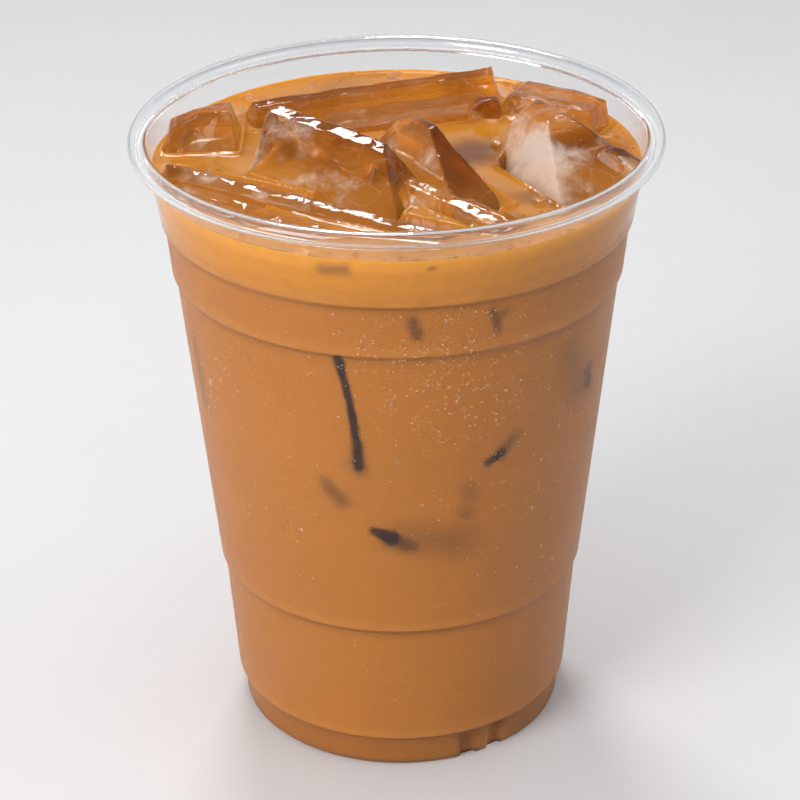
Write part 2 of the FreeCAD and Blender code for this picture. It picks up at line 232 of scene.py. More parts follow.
class Graph:
    """A material's or world's node tree, built up from expressions."""

    def __init__(self, owner):
        owner.use_nodes = True
        self.tree = owner.node_tree
        self.tree.nodes.clear()

    def add(self, kind, settings=None, sockets=None, output=0):
        """Add a node with its settings and its sockets' values or links; return one output."""
        node = self.tree.nodes.new(kind)
        for name, value in (settings or {}).items():
            setattr(node, name, value)
        for name, value in (sockets or {}).items():
            socket = node.inputs[name]
            if isinstance(value, Wire):
                self.tree.links.new(value.socket, socket)
            elif hasattr(value, "__len__") and socket.type == "RGBA":
                socket.default_value = (*value[:3], 1.0)
            else:
                socket.default_value = value
        return Wire(self, node.outputs[output]) if node.outputs else None

    def place(self):
        """The surface point in the object's own frame, in metres."""
        return self.add("ShaderNodeTexCoord", output="Object")

    def ray(self, question):
        """What kind of ray is traced, or how many bounces it has made."""
        return self.add("ShaderNodeLightPath", output=question)

    def painted(self, layer):
        """The value that a mesh carries at its points."""
        return self.add("ShaderNodeAttribute", {"attribute_name": layer}, output="Fac")

    def surface(self, sockets):
        """A Principled surface."""
        return self.add("ShaderNodeBsdfPrincipled", None, sockets)

    def swirl(self, place, scale):
        """Three smooth noises at once, as a vector from about 0 to 1."""
        return self.add("ShaderNodeTexNoise", None, {"Vector": place, "Scale": scale}, 1)

    def shaken(self, place, scale, reach):
        """Move a place by noise, by up to half of reach to each side."""
        off = self.vector("SUBTRACT", self.swirl(place, scale), (0.5, 0.5, 0.5))
        return self.vector("ADD", place, self.vector("MULTIPLY", off, reach))

    def band(self, value, low, full, fade, high):
        """A smooth band that rises from low to full and falls from fade to high."""
        return self.step(value, low, full) * (1 - self.step(value, fade, high))

    def part(self, vector, axis):
        """One of a vector's three values."""
        return self.add("ShaderNodeSeparateXYZ", None, {0: vector}, axis)

    def step(self, value, low, high):
        """A smooth step from 0 at low to 1 at high."""
        return self.add("ShaderNodeMapRange", {"interpolation_type": "SMOOTHSTEP"},
                        {"Value": value, "From Min": low, "From Max": high})

    def noise(self, place, scale, detail=3.0, roughness=0.5, distortion=0.0):
        """Smooth noise from about 0 to 1; scale is in waves a metre."""
        return self.add("ShaderNodeTexNoise", None, {
            "Vector": place, "Scale": scale, "Detail": detail, "Roughness": roughness,
            "Distortion": distortion})

    def mix(self, share, first, second):
        """Mix two colours."""
        return self.add("ShaderNodeMix", {"data_type": "RGBA"}, {0: share, 6: first, 7: second}, 2)

    def vector(self, operation, first, second, output=0):
        """Add a Vector Math node."""
        return self.add("ShaderNodeVectorMath", {"operation": operation}, {0: first, 1: second},
                        output)

    def bump(self, height, distance, strength=1.0):
        """Bend the shading normal by a height from 0 to 1, over a distance in metres."""
        return self.add("ShaderNodeBump", None,
                        {"Height": height, "Distance": distance, "Strength": strength})

    def blend(self, share, first, second):
        """Mix two shaders."""
        return self.add("ShaderNodeMixShader", None, {0: share, 1: first, 2: second})

    def let_light_through(self, shader, tint):
        """Let the lamps shine through a clear material, and let long paths leave it."""
        clear = self.add("ShaderNodeBsdfTransparent", None, {"Color": tint})
        long_path = self.step(self.ray("Ray Depth"), 5.5, 6.5)
        return self.blend(self.ray("Is Shadow Ray").most(long_path), shader, clear)

    def finish(self, shader, output="ShaderNodeOutputMaterial"):
        """Give the shader to the output of the material or the world."""
        self.add(output, None, {"Surface": shader})


def new_material(name):
    """Return a new material and its graph."""
    material = bpy.data.materials.new(name)
    return material, Graph(material)


# ---------------------------------------------------------------- meshes

def rounded(corners, steps=4):
    """Return a line through the corners, each rounded by its own radius."""
    line = [Vector(corners[0][:2])]
    for before, here, after in zip(corners, corners[1:], corners[2:]):
        corner = Vector(here[:2])
        back = (Vector(before[:2]) - corner).normalized()
        on = (Vector(after[:2]) - corner).normalized()
        half = back.angle(on) / 2
        reach = here[2] / math.tan(half)
        centre = corner + (back + on).normalized() * (here[2] / math.sin(half))
        start = corner + back * reach - centre
        sweep = start.angle_signed(corner + on * reach - centre)
        for i in range(steps + 1):
            turned = start.copy()
            turned.rotate(Matrix.Rotation(-sweep * i / steps, 2))
            line.append(centre + turned)
    line.append(Vector(corners[-1][:2]))
    return line


def wall_line(inset, lift):
    """The wall's side, inset from the outer face and lifted off the underside of the base."""
    corners = []
    for i, (radius, height, rounding) in enumerate(WALL_CORNERS):
        side = 1 if i in (1, 2) else -1
        rise = lift if i < 5 else 0.0
        corners.append((max(0.0, radius + side * inset) if i else 0.0, height + rise, rounding))
    neck = RIM_RADIUS - 2 * LIP_RADIUS + 0.5 - inset
    corners.append((neck, CUP_HEIGHT - LIP_RADIUS, 0.0))
    return rounded(corners)


def fill_in(line, gap):
    """Add points to a line so that none of its runs is longer than gap."""
    result = [line[0]]
    for start, end in zip(line, line[1:]):
        parts = max(1, math.ceil((end - start).length / gap))
        result += [start.lerp(end, i / parts) for i in range(1, parts + 1)]
    return result


def ease(value, low, high):
    """A smooth step from 0 at low to 1 at high, for numbers and arrays."""
    share = np.clip((value - low) / (high - low), 0.0, 1.0)
    return share * share * (3 - 2 * share)


def notched(radius, height, angle, floor, inner, outer, top):
    """Pull a radius in to the floor of the notches, between two distances off their middles."""
    pull = np.zeros_like(angle)
    for middle in NOTCH_ANGLES:
        off = np.abs(radius * np.sin(angle - middle))
        near = np.cos(angle - middle) > 0
        rise = 1.0 if inner is None else ease(off, inner - 0.25, inner + 0.25)
        pull = np.maximum(pull, near * rise * (1 - ease(off, outer - 0.25, outer + 0.25)))
    pull = pull * (height < top)
    return radius - pull * np.maximum(0.0, radius - floor)


def circle(segments):
    """Angles round a circle, and the points of a circle of radius 1."""
    turn = np.arange(segments) * 2 * math.pi / segments
    return turn, np.stack([np.cos(turn), np.sin(turn)], 1)


def level_row(ring, radius, height):
    """A row of points at one height; the radius is one number or one for each point."""
    return np.column_stack([ring * np.reshape(radius, (-1, 1)), np.full(len(ring), height)])


def add_values(mesh, **layers):
    """Store values at a mesh's points for its material to read."""
    for name, values in layers.items():
        layer = mesh.attributes.new(name, "FLOAT", "POINT")
        layer.data.foreach_set("value", np.asarray(values, np.float32))


def sliced(shape, place, facing, clear=False):
    """Cut a shape with a plane and return the edges of the cut; clear drops the outer side."""
    cut = bmesh.ops.bisect_plane(
        shape, geom=shape.verts[:] + shape.edges[:] + shape.faces[:], dist=1e-7,
        plane_co=place, plane_no=facing, clear_outer=clear)["geom_cut"]
    return [e for e in cut if isinstance(e, bmesh.types.BMEdge)]


def spin(name, rows, segments):
    """Turn rows of points into a closed mesh; a row is an array of points, or one point."""
    points, starts = [], []
    for row in rows:
        starts.append(len(points))
        points += [tuple(p) for p in row]
    faces = []
    for (a, row_a), (b, row_b) in zip(zip(starts, rows), zip(starts[1:], rows[1:])):
        for i in range(segments):
            j = (i + 1) % segments
            if len(row_a) == 1:
                faces.append((a, b + j, b + i))
            elif len(row_b) == 1:
                faces.append((a + i, a + j, b))
            else:
                faces.append((a + i, a + j, b + j, b + i))
    mesh = bpy.data.meshes.new(name)
    mesh.from_pydata([tuple(c * MM for c in p) for p in points], [], faces)
    mesh.validate()
    mesh.shade_smooth()
    return mesh


def add_piece(name, mesh, material, slot, *nodes):
    """Show a mesh as a piece of the object, in the place of its CAD nodes."""
    piece = bpy.data.objects.new(name, mesh)
    bpy.context.scene.collection.objects.link(piece)
    mesh.materials.clear()
    mesh.materials.append(material)
    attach(piece, "root")
    if nodes:
        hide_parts(*nodes)
    return piece


# ---------------------------------------------------------------- cup

def plastic_material(tint):
    """Clear thin plastic that is dewy below the drink's level."""
    material, graph = new_material("clear_plastic_with_dew")
    place = graph.place()
    height = graph.part(place, 2)
    patches = graph.noise(place, 55.0, 2.0)
    dew_top = (LEVEL - 11.0) * MM
    dew = 1 - graph.step(height + 0.004 * (patches - 0.5), dew_top, dew_top + 0.006)
    droplets = graph.noise(place, 2600.0, 1.0)
    grains = graph.step(droplets, 0.55, 0.75) * graph.step(graph.noise(place, 60.0, 1.0), 0.4, 0.6)
    mist = graph.noise(place, 420.0, 3.0)
    waves = graph.bump(graph.noise(place, 30.0, 0.0), 0.00002)
    clear = graph.surface({
        "Base Color": tint, "Roughness": 0.03, "IOR": 1.46, "Transmission Weight": 1.0,
        "Normal": waves})
    beaded = graph.bump(0.3 * mist + 0.7 * grains, 0.0002)
    misty = graph.surface({
        "Base Color": tint, "Roughness": 0.42, "IOR": 1.42, "Transmission Weight": 1.0,
        "Normal": beaded})
    graph.finish(graph.let_light_through(graph.blend(dew, clear, misty), tint))
    return material


class ICEDCOFFEE_OT_cup(bpy.types.Operator):
    """Build the clear cup with its rolled lip, steps, raised base and notches"""
    bl_idname = "iced_coffee.cup"
    bl_label = "Cup"

    def execute(self, context):
        cup = context.scene.iced_coffee_cup
        wall = cup.wall / MM
        turn, ring = circle(cup.segments)
        rows = []

        def add_row(radius, height, floor, inner, outer, top):
            if radius < 1e-6:
                rows.append(np.array([[0.0, 0.0, height]]))
                return
            pulled = notched(np.full(len(turn), radius), height, turn, floor, inner, outer, top)
            rows.append(level_row(ring, pulled, height))

        for radius, height in fill_in(wall_line(0.0, 0.0), 2.5):
            add_row(radius, height, NOTCH_FLOOR, NOTCH_COLUMN, NOTCH_HALF, NOTCH_TOP - 0.1)
        centre = Vector((RIM_RADIUS - LIP_RADIUS, CUP_HEIGHT - LIP_RADIUS))
        for size, way in ((LIP_RADIUS - wall, 1), (LIP_RADIUS, -1)):
            for share in np.linspace(0.0, 1.0, 22)[1:][::way]:
                bend = math.pi + (LIP_END - math.pi) * share
                add_row(centre.x + size * math.cos(bend), centre.y + size * math.sin(bend),
                        0.0, None, 0.0, 0.0)
        for radius, height in reversed(fill_in(wall_line(wall, FLOOR_THICKNESS), 2.5)):
            add_row(radius, height, NOTCH_FLOOR - wall, None, NOTCH_HALF + wall, NOTCH_TOP + wall)
        mesh = spin("cup_shell", rows, cup.segments)
        add_piece("cup_shell", mesh, plastic_material(cup.tint), "cup", "cup")
        return {"FINISHED"}


# ---------------------------------------------------------------- drink

def on_side(angle, height, radius):
    """A point at an angle in degrees, a height and a radius, in metres."""
    bend = math.radians(angle)
    return Vector((math.cos(bend) * radius, math.sin(bend) * radius, height)) * MM


def side_radius(height, inset):
    """Radius of the wall at a height, inset from its outer face."""
    corners = [c for c in WALL_CORNERS if c[1] >= 0.8 or c[0] > 31.0]
    heights = [c[1] for c in corners[1:]] + [CUP_HEIGHT - LIP_RADIUS]
    radii = [c[0] for c in corners[1:]] + [RIM_RADIUS - 2 * LIP_RADIUS + 0.5]
    return float(np.interp(height, heights, radii)) - inset


def sunk_mask(graph, place, inset):
    """How much sunk ice shows at a point of the drink's side, from 0 to 1."""
    place = graph.shaken(place, 420.0, (0.0011, 0.0011, 0.0011))
    total = None
    for start, end, size, end_size, soft, dark in SUNK_RUNS:
        a = on_side(*start, side_radius(start[1], inset))
        b = on_side(*end, side_radius(end[1], inset))
        run = b - a
        from_start = graph.vector("SUBTRACT", place, tuple(a))
        share = graph.vector("DOT_PRODUCT", from_start, tuple(run / run.length_squared), 1)
        share = share.most(0.0).least(1.0)
        along = graph.add("ShaderNodeVectorMath", {"operation": "SCALE"},
                          {0: tuple(run), "Scale": share})
        off = graph.vector("DISTANCE", from_start, along, 1)
        width = (size + (end_size - size) * share) * MM
        shown = graph.add("ShaderNodeMapRange", {"interpolation_type": "SMOOTHSTEP"}, {
            "Value": off - width, "From Min": 1.5 * soft * MM, "From Max": -0.5 * soft * MM,
            "To Min": 0.0, "To Max": dark})
        total = shown if total is None else total.most(shown)
    return total


# Tones that the drink takes on here and there; the two ring tones are painted shade and a painted
# highlight at the ring steps, and the first also darkens the foot.
PALE_SWIRL = (0.56, 0.23, 0.04)
RING_SHADE = (0.27, 0.085, 0.008)
RING_HIGHLIGHT = (0.66, 0.28, 0.05)
MOTTLE = (0.34, 0.115, 0.012)
BAND_MARK = (0.16, 0.045, 0.012)
CREAM = (0.62, 0.255, 0.03)

# Soft patches of painted shade on the open surface, in the hollows between the ice: place, radius,
# strength.
SURFACE_SHADES = [
    ((14.0, 4.0), 9.0, 0.95), ((22.0, -3.0), 6.5, 0.8), ((25.5, -17.5), 6.0, 0.6),
    ((19.0, -27.0), 5.0, 0.45), ((-20.0, 8.0), 7.0, 0.45), ((-24.0, 22.0), 6.0, 0.35),
    ((34.0, 31.0), 5.0, 0.4), ((12.0, 33.5), 6.0, 0.3), ((-38.0, -8.0), 5.0, 0.45),
]


def coffee_material(colors, inset):
    """Milky coffee: satin behind the wall, wet on top, and darker in the shade of the ice."""
    material, graph = new_material("milk_coffee")
    place = graph.place()
    height = graph.part(place, 2)
    swirl = graph.noise(place, 28.0, 3.0, distortion=0.6)
    fine = graph.noise(place, 160.0, 2.0)
    band_low = (LEVEL - 12.5) * MM
    band = graph.step(height + 0.003 * (swirl - 0.5), band_low, band_low + 0.009)
    side = graph.mix(band, colors.side_color, colors.band_color)
    side = graph.mix(graph.step(swirl, 0.3, 0.75) * 0.16, side, PALE_SWIRL)
    # Painted shade just under each ring's step and a painted highlight just above it; the foot
    # below the lowest ring is darkened too.
    for low in RING_HEIGHTS:
        shaded = graph.band(height, *((low + rise) * MM for rise in (-1.5, -0.1, 0.5, 1.0)))
        lit = graph.band(height, *((low + rise) * MM for rise in (0.7, 1.3, 1.6, 3.2)))
        side = graph.mix(0.42 * shaded, side, RING_SHADE)
        side = graph.mix(0.30 * lit, side, RING_HIGHLIGHT)
    foot = 1 - graph.step(height, 5.6 * MM, 7.0 * MM)
    side = graph.mix(0.42 * foot, side, RING_SHADE)
    mottle = graph.noise(place, 480.0, 3.0, 0.6)
    side = graph.mix(graph.step(mottle, 0.4, 0.75) * 0.16, side, MOTTLE)
    sunk = graph.mix(band, colors.sunk_color, BAND_MARK)
    side = graph.mix(sunk_mask(graph, place, inset), side, sunk)
    under_wall = graph.surface({
        "Base Color": side, "Roughness": 0.55, "Specular IOR Level": 0.15,
        "Subsurface Weight": 0.15, "Subsurface Radius": (1.0, 0.45, 0.18),
        "Subsurface Scale": 0.002})

    shade = graph.painted("shade")
    top = graph.mix(graph.step(fine, 0.35, 0.7) * 0.25, colors.surface_color, CREAM)
    murk = graph.noise(place, 75.0, 2.0, distortion=0.8)
    top = graph.mix(graph.step(murk, 0.45, 0.75) * 0.4, top, colors.murk_and_shade_color)
    # Painted shade in soft patches between the ice, with ragged edges.
    ragged = graph.shaken(place, 110.0, (0.007, 0.007, 0.0))
    for (x, y), radius, strength in SURFACE_SHADES:
        middle = (x * MM, y * MM, LEVEL * MM)
        far = graph.vector("DISTANCE", ragged, middle, 1)
        patch = (1 - graph.step(far, 0.25 * radius * MM, 1.1 * radius * MM)) * strength
        top = graph.mix(patch, top, colors.murk_and_shade_color)
    # Painted shade near and under the ice, from the mesh's shade values.
    top = graph.mix(shade, top, colors.murk_and_shade_color)
    ripple = graph.bump(graph.noise(place, 130.0, 2.0), 0.00012)
    open_top = graph.surface({
        "Base Color": top, "Roughness": 0.12, "Specular IOR Level": 0.5, "IOR": 1.34,
        "Subsurface Weight": 0.3, "Subsurface Radius": (1.0, 0.45, 0.15), "Subsurface Scale": 0.003,
        "Normal": ripple})
    on_top = graph.painted("on_top")
    graph.finish(graph.blend(on_top, under_wall, open_top))
    return material


def ice_outline():
    """Points along the line where the ice meets the drink's level, as a search tree."""
    samples = []
    for name in ICE_NODES:
        shape = bmesh.new()
        shape.from_mesh(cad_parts[name].data)
        for edge in sliced(shape, (0, 0, LEVEL * MM - 1e-5), (0, 0, 1)):
            start, end = (v.co.copy() for v in edge.verts)
            parts = max(1, math.ceil((end - start).length / 0.00015))
            samples += [start.lerp(end, i / parts) for i in range(parts + 1)]
        shape.free()
    tree = kdtree.KDTree(len(samples))
    for i, point in enumerate(samples):
        tree.insert((point.x, point.y, 0.0), i)
    tree.balance()
    return tree


def all_ice():
    """All the CAD ice as one search tree of faces."""
    points, faces = [], []
    for name in ICE_NODES:
        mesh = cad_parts[name].data
        first = len(points)
        points += [v.co.copy() for v in mesh.vertices]
        faces += [tuple(first + i for i in p.vertices) for p in mesh.polygons]
    return BVHTree.FromPolygons(points, faces)


# How far the climb at the ice and at the wall reaches, in millimetres, and how often the dip
# under the ice is smoothed.
ICE_CLIMB_REACH = 1.1
WALL_CLIMB_REACH = 0.9
SOFT_PASSES = 12


def softened(values, rings):
    """Smooth values on the rings of the surface; the last one belongs to the middle."""
    table = values[:-1].reshape(rings, -1)
    for _ in range(SOFT_PASSES):
        table = (np.roll(table, 1, 1) + 2 * table + np.roll(table, -1, 1)) / 4
        above, below = np.vstack([table[:1], table[:-1]]), np.vstack([table[1:], table[-1:]])
        table = (above + 2 * table + below) / 4
    return np.append(table.ravel(), table[-1].mean())


def surface_heights(points, edge, climb, rings):
    """Heights of the drink's surface in millimetres, and how much painted shade each point gets,
    from 0 to 1.
    """
    outline = ice_outline()
    ice = all_ice()
    low = np.full(len(points), 1e3)
    for i, (x, y) in enumerate(points):
        hit = ice.ray_cast(Vector((x * MM, y * MM, (LEVEL - 30) * MM)), Vector((0, 0, 1)))[0]
        if hit is not None:
            low[i] = hit.z / MM
    under = low < LEVEL - 0.05
    open_points = kdtree.KDTree(int((~under).sum()))
    for i in np.nonzero(~under)[0]:
        open_points.insert((*points[i], 0.0), int(i))
    open_points.balance()
    off_ice = np.array([outline.find((x * MM, y * MM, 0.0))[2] for x, y in points]) / MM
    inside = np.zeros(len(points))
    for i in np.nonzero(under)[0]:
        inside[i] = open_points.find((*points[i], 0.0))[2]
    radius = np.hypot(*points.T)
    rise = climb * np.where(under, 1.0, np.exp(-off_ice / ICE_CLIMB_REACH))
    rise = np.maximum(rise, climb * 0.8 * np.exp((radius - edge) / WALL_CLIMB_REACH))
    ripple = np.array([noise.noise(Vector((x / 9.0, y / 9.0, 3.7))) for x, y in points]) * 0.08
    open_height = LEVEL - climb * 0.4 + rise + ripple
    dip = ease(inside, 0.3, 2.6) * under
    depth = (np.minimum(low + 0.5, open_height) - open_height) * dip
    height = open_height + softened(depth, rings) * ease(inside, 0.0, 1.2)
    # Painted shade: a dark line where the drink meets the ice, and darker drink under the ice.
    near = 0.55 * np.exp(-off_ice / 0.8) * (1 - under)
    return height, np.maximum(near, 0.05 * under + 0.5 * dip * ease(LEVEL - low, 0.5, 3.5))


class ICEDCOFFEE_OT_drink(bpy.types.Operator):
    """Fill the cup with milk coffee that reaches just into the wall and climbs at the ice"""
    bl_idname = "iced_coffee.drink"
    bl_label = "Drink"

    def execute(self, context):
        drink = context.scene.iced_coffee_drink
        cup = context.scene.iced_coffee_cup
        wall, reach = cup.wall / MM, drink.reach / MM
        inset = wall - reach
        turn, ring = circle(cup.segments)
        rows = []
        line = fill_in(wall_line(inset, FLOOR_THICKNESS / 2), 1.6)
        for radius, height in line:
            if height > LEVEL - 1.2:
                break
            if radius < 1e-6:
                rows.append(np.array([[0.0, 0.0, height]]))
                continue
            pulled = notched(np.full(len(turn), radius), height, turn,
                             NOTCH_FLOOR - inset, None, NOTCH_HALF + wall - reach / 2,
                             NOTCH_TOP + inset)
            rows.append(level_row(ring, pulled, height))
        edge = side_radius(LEVEL, inset)
        spread = edge * (1 - (np.arange(drink.rings) / drink.rings) ** 1.06)
        flat = np.concatenate([ring * r for r in spread] + [np.zeros((1, 2))])
        heights, shade = surface_heights(flat, edge, drink.climb / MM, drink.rings)
        side_count = sum(len(row) for row in rows)
        for i in range(drink.rings):
            span = slice(i * cup.segments, (i + 1) * cup.segments)
            rows.append(np.column_stack([flat[span], heights[span]]))
        rows.append(np.array([[0.0, 0.0, heights[-1]]]))
        mesh = spin("drink", rows, cup.segments)
        on_top = np.zeros(len(mesh.vertices))
        on_top[side_count + cup.segments:] = 1.0
        shades = np.zeros(len(mesh.vertices))
        shades[side_count:] = shade
        add_values(mesh, on_top=on_top, shade=shades)
        add_piece("drink", mesh, coffee_material(drink, inset), "coffee", "coffee")
        return {"FINISHED"}


# ---------------------------------------------------------------- ice

def ice_material(colors):
    """Clear ice with cloudy patches, fine cracks, painted shade on some sides and a thin film of
    drink near the level.
    """
    material, graph = new_material("clear_ice")
    place = graph.place()
    height = graph.part(place, 2)
    cracks = graph.add("ShaderNodeTexVoronoi", {"feature": "DISTANCE_TO_EDGE"}, {
        "Vector": graph.vector("ADD", place, graph.vector(
            "MULTIPLY", graph.swirl(place, 160.0), (0.004, 0.004, 0.004))),
        "Scale": 170.0}, "Distance")
    seam = 1 - graph.step(cracks, 0.0, 0.035)
    seam = seam * graph.step(graph.noise(place, 90.0, 2.0), 0.5, 0.62)
    melt = graph.noise(place, 260.0, 3.0, 0.55)
    pits = graph.noise(place, 1100.0, 1.0)
    relief = graph.bump(0.8 * melt + 0.12 * pits - 0.3 * seam, 0.0004, 0.34)
    clear = graph.surface({
        "Base Color": (0.98, 0.90, 0.76), "Roughness": 0.03, "IOR": 1.31,
        "Transmission Weight": 1.0, "Normal": relief})
    # Painted shade on the shaded sides of the ice, from the mesh's dark values, with patches by
    # noise.
    dark = graph.surface({
        "Base Color": colors.shaded_ice_color, "Roughness": 0.03, "IOR": 1.31,
        "Transmission Weight": 1.0, "Normal": relief})
    shaded = graph.painted("dark") + 0.5 * (graph.noise(place, 150.0, 2.0) - 0.5)
    clear = graph.blend(shaded.least(1.0).most(0.0), clear, dark)
    cloud = graph.surface({
        "Base Color": colors.cloud_color, "Roughness": 0.22, "Subsurface Weight": 0.6,
        "Subsurface Radius": (1.0, 0.8, 0.7), "Subsurface Scale": 0.004, "Normal": relief})
    film = graph.surface({
        "Base Color": colors.film_color, "Roughness": 0.1, "Subsurface Weight": 0.5,
        "Subsurface Radius": (1.0, 0.4, 0.15), "Subsurface Scale": 0.003, "Normal": relief})
    patch = graph.noise(place, 120.0, 4.0, 0.6)
    cloudy = graph.painted("cloud")
    cloud_share = (graph.step(patch + 0.5 * (cloudy - 0.5), 0.5, 0.85) * 0.75
                   + 0.12 * seam).least(0.85)
    wet = graph.noise(place, 70.0, 3.0, distortion=1.0)
    dry = graph.step(height + 0.004 * (wet - 0.5), LEVEL * MM, (LEVEL + 3.0) * MM)
    shader = graph.blend((1 - dry) * 0.22, graph.blend(cloud_share, clear, cloud), film)
    graph.finish(graph.let_light_through(shader, (0.93, 0.88, 0.80)))
    return material


# How cloudy each piece of ice is, from 0 to 1, how deep the chips off its corners are in
# millimetres, and which way its cloudiest side faces.
ICE_LOOKS = {
    "ice_chunk_right": (0.40, 0.9, (-0.80, -0.52, 0.40)),
    "ice_peak_left": (0.27, 1.1, (-0.95, -0.20, 0.20)),
    "ice_peak_centre": (0.20, 1.0, (-0.80, -0.50, 0.30)),
    "ice_tongue": (0.25, 0.8, (0.0, -0.6, 0.8)),
    "ice_lump_back": (0.16, 0.9, (-0.2, 0.4, 0.9)),
}
COMMON_LOOK = (0.15, 0.7, (0.0, 0.0, 1.0))
CHIPS = 12
CHIP_REACH = 4.0

# Painted shade on one side of each piece, tinted as the shaded drink seen through it: how strong it
# is, and which way that side faces.
PAINTED_SHADE_SIDES = {
    "ice_peak_centre": (0.95, (0.75, 0.10, 0.65)), "ice_chip_centre": (0.9, (0.5, -0.3, 0.5)),
    "ice_chunk_right": (0.8, (0.70, 0.45, 0.55)), "ice_peak_left": (0.75, (0.70, 0.30, 0.60)),
    "ice_nub_back": (0.8, (0.3, -0.4, 0.7)), "ice_slab_back": (0.5, (-0.1, 0.3, 0.95)),
    "ice_tip_right": (0.8, (0.6, 0.3, 0.6)),
}

COMMON_PAINTED_SHADE = (0.2, (0.80, 0.42, 0.42))

# The ridges that melting has planed off, each with the way that it runs, and where the flats face.
GLINT_FACING = Vector((-0.12, -0.22, 0.97))
RIDGES = {
    "ice_peak_left": (0.834, -0.542, -0.105),
    "ice_tongue": (0.705, -0.705, -0.070),
    "ice_slab_front": (0.874, -0.485, -0.030),
    "ice_peak_centre": (0.515, -0.857, -0.017),
    "ice_slab_back": (0.951, 0.309, 0.017),
    "ice_plate_front": (0.788, -0.616, 0.0),
    "ice_shard_front": (0.626, -0.773, -0.099),
    "ice_chip_centre": (0.446, -0.875, -0.191),
    "ice_chunk_right": (0.515, -0.857, 0.017),
}


def chipped(shape, depth, rng):
    """Cut small slanting chips off the corners of a shape that stand above the drink."""
    middle = sum((v.co for v in shape.verts), Vector()) / len(shape.verts)
    for _ in range(CHIPS):
        above = [v for v in shape.verts if v.co.z > (LEVEL + 1.0) * MM]
        if not above:
            return
        corner = rng.choice(above).co.copy()
        lean = Vector((rng.uniform(-1, 1), rng.uniform(-1, 1), rng.uniform(-0.4, 1.0)))
        normal = ((corner - middle).normalized() + 0.7 * lean).normalized()
        start = corner - normal * depth * rng.uniform(0.3, 1.0) * MM
        lost = [v for v in shape.verts if (v.co - start).dot(normal) > 0]
        if any((v.co - corner).length > CHIP_REACH * MM for v in lost):
            continue
        edges = sliced(shape, start, normal, clear=True)
        bmesh.ops.holes_fill(shape, edges=edges, sides=0)


def planed(shape, ridge, depth):
    """Plane off the ridge of a shape, along the way that it runs."""
    ridge = Vector(ridge).normalized()
    facing = (GLINT_FACING - ridge * GLINT_FACING.dot(ridge)).normalized()
    highest = max(v.co.dot(facing) for v in shape.verts)
    edges = sliced(shape, facing * (highest - depth), facing, clear=True)
    bmesh.ops.holes_fill(shape, edges=edges, sides=0)


def melted(mesh, wave, seed):
    """Leave waves and shallow scoops on a mesh, drawing it in by a little."""
    count = len(mesh.vertices)
    places = np.empty(count * 3)
    normals = np.empty(count * 3)
    mesh.vertices.foreach_get("co", places)
    mesh.vertex_normals.foreach_get("vector", normals)
    places, normals = places.reshape(-1, 3), normals.reshape(-1, 3)
    offset = Vector((seed * 3.1, seed * 1.7, seed * 0.9))
    moves = np.empty(count)
    for i, place in enumerate(places):
        spot = Vector(place) / MM
        wide = noise.noise(spot / 7.0 + offset)
        scoop = noise.voronoi(spot / 5.5 + offset)[0][0]
        small = noise.noise(spot / 1.6 + offset)
        moves[i] = 0.8 * wide + 0.9 * (0.45 - scoop) + 0.16 * small
    places += normals * (moves[:, None] * wave - 0.00012)
    mesh.vertices.foreach_set("co", places.ravel())
    return normals


class ICEDCOFFEE_OT_ice(bpy.types.Operator):
    """Break, melt and cloud the pieces of ice that stand out of the drink"""
    bl_idname = "iced_coffee.ice"
    bl_label = "Ice"

    def execute(self, context):
        settings = context.scene.iced_coffee_ice
        material = ice_material(settings)
        for seed, name in enumerate(ICE_NODES, start=1):
            rng = random.Random(seed)
            cloud, chip, cloudy_way = ICE_LOOKS.get(name, COMMON_LOOK)
            shape = bmesh.new()
            shape.from_mesh(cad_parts[name].data)
            bmesh.ops.remove_doubles(shape, verts=shape.verts[:], dist=1e-6)
            chipped(shape, chip, rng)
            if name in RIDGES:
                planed(shape, RIDGES[name], settings.glint)
            rough = bpy.data.meshes.new(name + "_rough")
            shape.to_mesh(rough)
            shape.free()
            holder = bpy.data.objects.new(name + "_rough", rough)
            context.scene.collection.objects.link(holder)
            cells = holder.modifiers.new("cells", "REMESH")
            cells.mode = "VOXEL"
            cells.voxel_size = settings.cell
            soft = holder.modifiers.new("soft", "SMOOTH")
            soft.factor = 0.5
            soft.iterations = 2
            context.view_layer.update()
            graph = context.evaluated_depsgraph_get()
            mesh = bpy.data.meshes.new_from_object(holder.evaluated_get(graph))
            bpy.data.objects.remove(holder)
            bpy.data.meshes.remove(rough)
            if not mesh.vertices:
                raise RuntimeError(f"{name} has no mesh")
            mesh.name = name[4:] + "_ice"
            mesh.shade_smooth()
            normals = melted(mesh, settings.wave, seed)
            cloudy_way = np.array(Vector(cloudy_way).normalized())
            places = np.array([v.co for v in mesh.vertices]) / MM
            side = (places - places.mean(0)) @ cloudy_way
            facing = ease(0.6 * (normals @ cloudy_way) + side / max(6.0, np.ptp(side)), 0.1, 0.9)
            clouds = cloud + (1.7 * cloud) * facing
            # Painted shade on the side that faces the listed way.
            dark, shade_way = PAINTED_SHADE_SIDES.get(name, COMMON_PAINTED_SHADE)
            shade_amounts = dark * ease(normals @ np.array(Vector(shade_way).normalized()), 0.2, 0.65)
            add_values(mesh, cloud=clouds, dark=shade_amounts)
            add_piece(name[4:] + "_ice", mesh, material, "ice", name)
        return {"FINISHED"}


# ---------------------------------------------------------------- bubbles and small bits of ice

# Patches of fine dew: middle angle in degrees, height, spreads, count, least and most radius.
DEW_PATCHES = [
    (-82.0, 92.0, 13.0, 9.0, 520, 0.10, 0.22), (-70.0, 80.0, 12.0, 12.0, 240, 0.10, 0.21),
    (-150.0, 85.0, 10.0, 12.0, 160, 0.10, 0.26), (-45.0, 70.0, 12.0, 20.0, 140, 0.10, 0.24),
    (70.0, 75.0, 30.0, 20.0, 380, 0.10, 0.24), (150.0, 60.0, 22.0, 18.0, 240, 0.10, 0.24),
]
